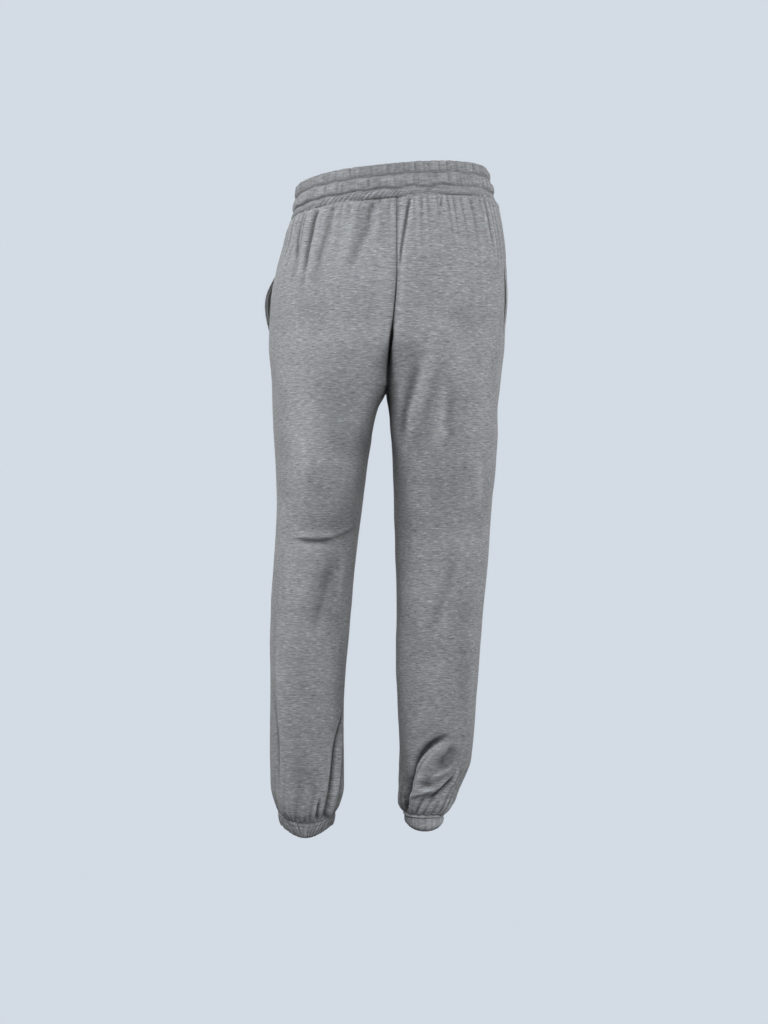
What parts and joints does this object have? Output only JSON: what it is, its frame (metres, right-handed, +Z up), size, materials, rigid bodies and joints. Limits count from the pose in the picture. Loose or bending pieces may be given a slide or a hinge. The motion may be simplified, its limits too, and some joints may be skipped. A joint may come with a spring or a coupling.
{
  "type": "jogger sweatpants",
  "caption": "Loose knitted joggers in their worn shape with nobody inside: shirred elastic waistband, tapered legs gathered into elastic cuffs, in-seam side pockets.",
  "frame": {"origin": "middle of the waistband's top edge, where the wearer's waist holds the garment up", "axes": "+Z up the wearer's body, -Y to the wearer's front, +X to the wearer's left"},
  "size_m": [0.365, 0.2566, 0.9982],
  "materials": {
    "heather_fleece": "matt heather grey fleece-backed knit, with short light and dark flecks along the courses",
    "elastic_band": "the same heather grey knit, doubled over elastic and shirred",
    "pocket_jersey": "thin plain grey jersey"
  },
  "bodies": {
    "root": {"back_left": "heather_fleece", "back_right": "heather_fleece", "front_left": "heather_fleece", "front_right": "heather_fleece", "waistband": "elastic_band", "cuff_left": "elastic_band", "cuff_right": "elastic_band", "pocket_left": "pocket_jersey", "pocket_right": "pocket_jersey"}
  },
  "joints": []
}
